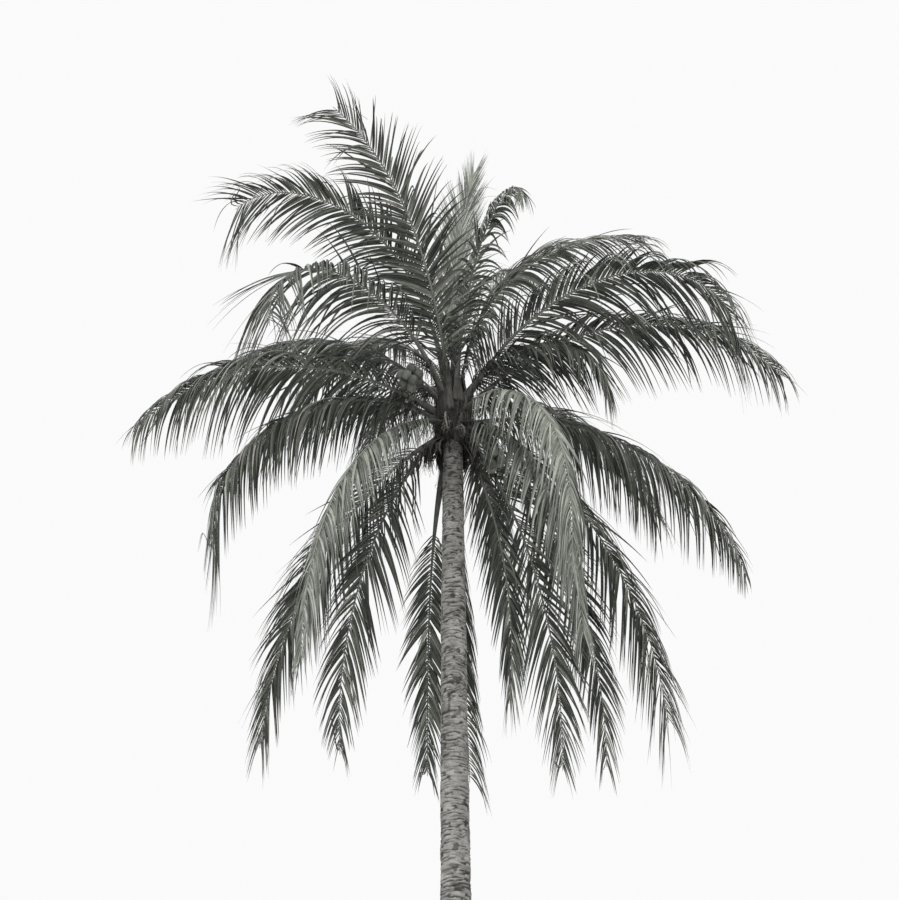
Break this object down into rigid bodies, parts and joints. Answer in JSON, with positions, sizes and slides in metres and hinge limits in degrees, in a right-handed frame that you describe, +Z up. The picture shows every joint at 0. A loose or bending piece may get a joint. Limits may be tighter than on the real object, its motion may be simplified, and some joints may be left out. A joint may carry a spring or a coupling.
{
  "type": "coconut palm tree",
  "caption": "Whole coconut palm: a slender leaning trunk with a swollen foot and a round crown of arching and hanging feather fronds, a young spear, green nuts and dry stalks.",
  "frame": {"origin": "middle of the flat cut under the trunk, at ground level", "axes": "+Z up along the tree, +Y away from the viewer of the picture, +X to the viewer's right"},
  "size_m": [8.2994, 7.2337, 18.5495],
  "materials": {
    "bark": "grey ringed bark with cracks and pits",
    "crown_fibre": "dark matted sheath fibre",
    "nut_husk": "smooth dull husk",
    "dry_stalk": "dry woody stalk",
    "old_sheath": "torn dry fibre",
    "frond_leaf": "satin leaf blade",
    "young_leaf": "pale satin young leaf"
  },
  "bodies": {
    "root": {"trunk": "bark", "crown_heart": "crown_fibre", "nut_bunch_1": "nut_husk", "nut_bunch_2": "nut_husk", "flower_stalk_1": "dry_stalk", "flower_stalk_2": "dry_stalk", "flower_stalk_3": "dry_stalk", "old_sheath_1": "old_sheath", "old_sheath_2": "old_sheath", "old_sheath_3": "old_sheath", "old_sheath_4": "old_sheath", "old_sheath_5": "old_sheath", "frond_01": "frond_leaf", "frond_02_inner": "frond_leaf", "frond_02_outer": "frond_leaf", "frond_03": "frond_leaf", "frond_04_inner": "frond_leaf", "frond_04_outer": "frond_leaf", "frond_05": "frond_leaf", "frond_06_inner": "frond_leaf", "frond_06_outer": "frond_leaf", "frond_07_inner": "frond_leaf", "frond_07_outer": "frond_leaf", "frond_08_inner": "frond_leaf", "frond_08_outer": "frond_leaf", "frond_09_inner": "frond_leaf", "frond_09_outer": "frond_leaf", "frond_10": "frond_leaf", "frond_11_inner": "frond_leaf", "frond_11_outer": "frond_leaf", "frond_12": "frond_leaf", "frond_13_inner": "frond_leaf", "frond_13_outer": "frond_leaf", "frond_14": "frond_leaf", "frond_15": "frond_leaf", "frond_16": "frond_leaf", "frond_17_inner": "frond_leaf", "frond_17_outer": "frond_leaf", "frond_18_inner": "frond_leaf", "frond_18_outer": "frond_leaf", "frond_19": "frond_leaf", "frond_20_inner": "frond_leaf", "frond_20_outer": "frond_leaf", "frond_21": "frond_leaf", "frond_22": "frond_leaf", "frond_23_inner": "frond_leaf", "frond_23_outer": "frond_leaf", "frond_24": "frond_leaf", "frond_25": "frond_leaf", "frond_26_inner": "frond_leaf", "frond_26_outer": "frond_leaf", "frond_27_inner": "frond_leaf", "frond_27_outer": "frond_leaf", "frond_28_inner": "frond_leaf", "frond_28_outer": "frond_leaf", "frond_29_inner": "frond_leaf", "frond_29_outer": "frond_leaf", "spear": "young_leaf"}
  },
  "joints": []
}
